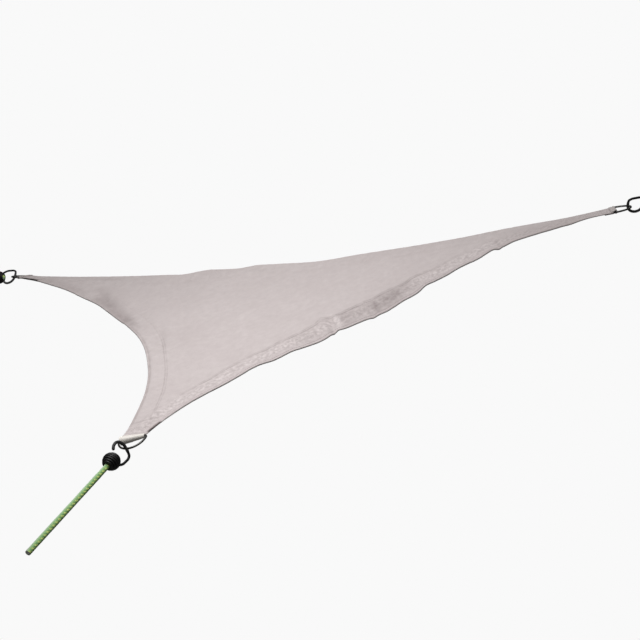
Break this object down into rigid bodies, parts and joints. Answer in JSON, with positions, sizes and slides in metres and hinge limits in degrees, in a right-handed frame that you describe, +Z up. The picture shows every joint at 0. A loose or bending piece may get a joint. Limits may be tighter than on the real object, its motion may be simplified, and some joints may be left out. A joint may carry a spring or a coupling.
{
  "type": "shade sail",
  "caption": "Triangular shade sail with curved hemmed edges, held out at its corners by D-rings, wire hooks and elastic cords.",
  "frame": {"origin": "middle of the outer end of the right tie's wound ball, where whatever holds the right corner takes hold", "axes": "+Z up as it hangs, +X level from the left corner to the right corner"},
  "size_m": [1.7467, 1.036, 0.5028],
  "materials": {
    "cloth": "matt woven taupe cloth",
    "satin": "satin webbing",
    "steel": "bright steel wire",
    "coated_wire": "black dipped coating on wire",
    "elastic": "green braided sleeve with pale flecks"
  },
  "bodies": {
    "root": {"sail": "cloth", "loop_front": "satin", "loop_left": "satin", "loop_right": "satin", "ring_front": "steel", "ring_left": "steel", "ring_right": "steel", "hook_front": "coated_wire", "hook_left": "coated_wire", "hook_right": "coated_wire", "hook_left_end": "coated_wire", "cord_front": "elastic", "cord_left": "elastic"}
  },
  "joints": []
}
